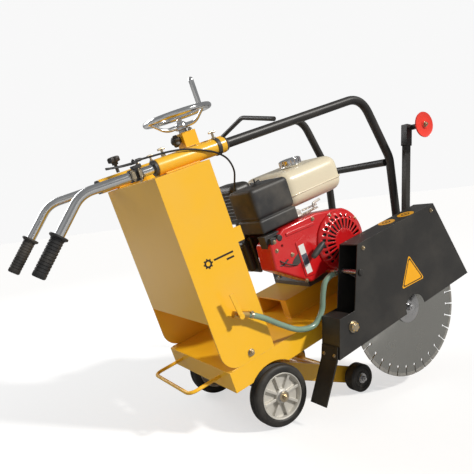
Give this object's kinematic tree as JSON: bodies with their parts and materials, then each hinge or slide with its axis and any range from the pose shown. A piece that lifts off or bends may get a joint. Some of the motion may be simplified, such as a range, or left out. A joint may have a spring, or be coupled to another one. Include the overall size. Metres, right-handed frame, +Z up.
{
  "type": "walk-behind concrete saw",
  "caption": "Walk-behind floor saw: engine-driven blade under a hinged guard, screw-raised front wheels, water tank column, sliding handlebars and a folding front pointer.",
  "frame": {"origin": "bottom centre of the bounding box, on the ground under the wheels", "axes": "+X forward, +Y to the operator's left, +Z up"},
  "size_m": [1.5376, 0.6226, 1.1962],
  "materials": {
    "yellow_paint": "satin powder coat",
    "black_paint": "satin powder coat",
    "black_plastic": "matt moulded",
    "rubber": "matt",
    "tyre": "solid rubber",
    "chrome": "polished",
    "steel": "machined",
    "cast_aluminium": "as cast",
    "red_paint": "gloss",
    "cream_paint": "gloss",
    "brass": "machined",
    "hose_vinyl": "clear green vinyl",
    "disc_plastic": "red moulded",
    "blade_steel": "ground"
  },
  "bodies": {
    "chassis": {"deck_frame": "yellow_paint", "rear_lift_bar": "yellow_paint", "water_tank": "yellow_paint", "handle_socket_right": "yellow_paint", "handle_socket_left": "yellow_paint", "frame_tube_right": "black_paint", "frame_tube_left": "black_paint", "frame_crossbar": "black_paint", "lifting_bail": "black_paint", "lift_head": "yellow_paint", "crankcase": "cast_aluminium", "cylinder": "cast_aluminium", "fan_shroud": "red_paint", "recoil_cover": "red_paint", "fuel_tank": "cream_paint", "air_cleaner": "black_plastic", "muffler": "black_paint", "belt_cover": "black_paint", "drive_belts": "rubber", "bearing_housing_right": "cast_aluminium", "bearing_housing_left": "cast_aluminium", "valve_body": "brass", "water_hose": "hose_vinyl", "rear_axle": "steel", "pivot_shaft": "steel", "throttle_cable": "rubber"},
    "guard": {"guard_shell": "black_paint", "guard_handle": "black_paint", "water_pipe": "brass", "mud_flap": "rubber"},
    "lift_frame": {"lift_frame": "yellow_paint"},
    "jack_ram": {"jack_ram": "steel"},
    "handwheel": {"handwheel": "chrome", "lift_screw": "steel"},
    "spinner": {"handwheel_spinner": "chrome"},
    "crankshaft": {"engine_pulley": "cast_aluminium", "flywheel": "cast_aluminium"},
    "blade_spindle": {"blade_shaft": "steel", "saw_blade": "blade_steel", "outer_flange": "steel", "shaft_pulley": "cast_aluminium"},
    "rear_wheel_right": {"rear_tyre_right": "tyre", "rear_rim_right": "cast_aluminium"},
    "rear_wheel_left": {"rear_tyre_left": "tyre", "rear_rim_left": "cast_aluminium"},
    "front_wheel_right": {"front_wheel_right": "tyre"},
    "front_wheel_left": {"front_wheel_left": "tyre"},
    "handlebar_right": {"handlebar_right": "chrome", "grip_right": "rubber"},
    "handlebar_left": {"handlebar_left": "chrome", "grip_left": "rubber"},
    "throttle_lever": {"throttle_lever": "black_paint"},
    "pointer_arm": {"pointer_arm": "black_paint"},
    "pointer_disc": {"pointer_disc": "disc_plastic"},
    "valve_lever": {"valve_lever": "yellow_paint"},
    "fuel_cap": {"fuel_cap": "chrome"},
    "tank_cap": {"tank_cap": "black_plastic"},
    "recoil_grip": {"recoil_grip": "black_plastic"},
    "head_lock_knob": {"head_lock_knob": "black_plastic"},
    "socket_lock_knob": {"socket_lock_knob_left": "black_plastic"}
  },
  "joints": [
    {"name": "guard_lift", "type": "hinge", "parent": "chassis", "child": "guard", "pos_m": [0.16479, -0.255, 0.29454], "axis": [0, -1, 0], "range_deg": [0, 60], "deforming": ["water_hose"]},
    {"name": "lift_frame_swing", "type": "hinge", "parent": "chassis", "child": "lift_frame", "pos_m": [-0.05008, 0.058, 0.16808], "axis": [0, -1, 0], "range_deg": [0, 25]},
    {"name": "jack_ram_slide", "type": "slide", "parent": "chassis", "child": "jack_ram", "axis": [-0.2408, 0, 0.9706], "range_m": [0, 0.03307]},
    {"name": "handwheel_turn", "type": "hinge", "parent": "chassis", "child": "handwheel", "pos_m": [-0.18608, 0.058, 1.01939], "axis": [-0.2408, 0, 0.9706], "range_deg": [0, 1170.8]},
    {"name": "handwheel_spinner_turn", "type": "hinge", "parent": "handwheel", "child": "spinner", "pos_m": [-0.08906, 0.08205, 1.08261], "axis": [-0.2408, 0, 0.9706], "continuous": true},
    {"name": "blade_spin", "type": "hinge", "parent": "chassis", "child": "blade_spindle", "pos_m": [0.46674, 0.058, 0.29425], "axis": [0, 1, 0], "continuous": true},
    {"name": "crankshaft_spin", "type": "hinge", "parent": "chassis", "child": "crankshaft", "pos_m": [0.28411, 0.058, 0.56112], "axis": [0, 1, 0], "continuous": true},
    {"name": "rear_wheel_right_roll", "type": "hinge", "parent": "chassis", "child": "rear_wheel_right", "pos_m": [-0.0648, -0.164, 0.10158], "axis": [0, 1, 0], "continuous": true},
    {"name": "rear_wheel_left_roll", "type": "hinge", "parent": "chassis", "child": "rear_wheel_left", "pos_m": [-0.0648, 0.28, 0.10158], "axis": [0, 1, 0], "continuous": true},
    {"name": "front_wheel_right_roll", "type": "hinge", "parent": "lift_frame", "child": "front_wheel_right", "pos_m": [0.30769, -0.14, 0.05078], "axis": [0, 1, 0], "continuous": true},
    {"name": "front_wheel_left_roll", "type": "hinge", "parent": "lift_frame", "child": "front_wheel_left", "pos_m": [0.30769, 0.256, 0.05078], "axis": [0, 1, 0], "continuous": true},
    {"name": "handlebar_right_slide", "type": "slide", "parent": "chassis", "child": "handlebar_right", "axis": [0.9706, 0, 0.2408], "range_m": [-0.08, 0.03], "deforming": ["throttle_cable"]},
    {"name": "handlebar_left_slide", "type": "slide", "parent": "chassis", "child": "handlebar_left", "axis": [0.9706, 0, 0.2408], "range_m": [-0.08, 0.03]},
    {"name": "throttle_turn", "type": "hinge", "parent": "handlebar_right", "child": "throttle_lever", "pos_m": [-0.43808, -0.1255, 0.88062], "axis": [-0.2408, 0, 0.9706], "range_deg": [0, 60]},
    {"name": "pointer_fold", "type": "hinge", "parent": "chassis", "child": "pointer_arm", "pos_m": [0.55497, -0.185, 0.39547], "axis": [0, 1, 0], "range_deg": [0, 110]},
    {"name": "pointer_disc_roll", "type": "hinge", "parent": "pointer_arm", "child": "pointer_disc", "pos_m": [0.65865, -0.255, 0.9449], "axis": [0, 1, 0], "continuous": true},
    {"name": "valve_turn", "type": "hinge", "parent": "chassis", "child": "valve_lever", "pos_m": [-0.19496, -0.211, 0.39487], "axis": [0, -1, 0], "range_deg": [0, 90]},
    {"name": "fuel_cap_turn", "type": "hinge", "parent": "chassis", "child": "fuel_cap", "pos_m": [0.22981, 0.018, 0.85056], "axis": [-0.2408, 0, 0.9706], "range_deg": [0, 90]},
    {"name": "tank_cap_turn", "type": "hinge", "parent": "chassis", "child": "tank_cap", "pos_m": [-0.33528, 0.058, 0.86079], "axis": [-0.2408, 0, 0.9706], "range_deg": [0, 90]},
    {"name": "recoil_pull", "type": "slide", "parent": "chassis", "child": "recoil_grip", "axis": [-0.5243, -0.8508, 0.0349], "range_m": [0, 0.25], "stiffness_N_per_m": 40, "springref_m": -0.05},
    {"name": "head_lock_turn", "type": "hinge", "parent": "chassis", "child": "head_lock_knob", "pos_m": [-0.19634, 0.058, 0.97357], "axis": [0.9706, 0, 0.2408], "range_deg": [0, 360]},
    {"name": "socket_lock_turn", "type": "hinge", "parent": "chassis", "child": "socket_lock_knob", "pos_m": [-0.37154, 0.2415, 0.92392], "axis": [-0.2408, 0, 0.9706], "range_deg": [0, 360]}
  ],
  "couplings": [
    {"joint": "jack_ram_slide", "follows": "lift_frame_swing", "m_per_rad": 0.074406},
    {"joint": "handwheel_turn", "follows": "lift_frame_swing", "ratio": 46.751},
    {"joint": "crankshaft_spin", "follows": "blade_spin", "ratio": 1}
  ]
}
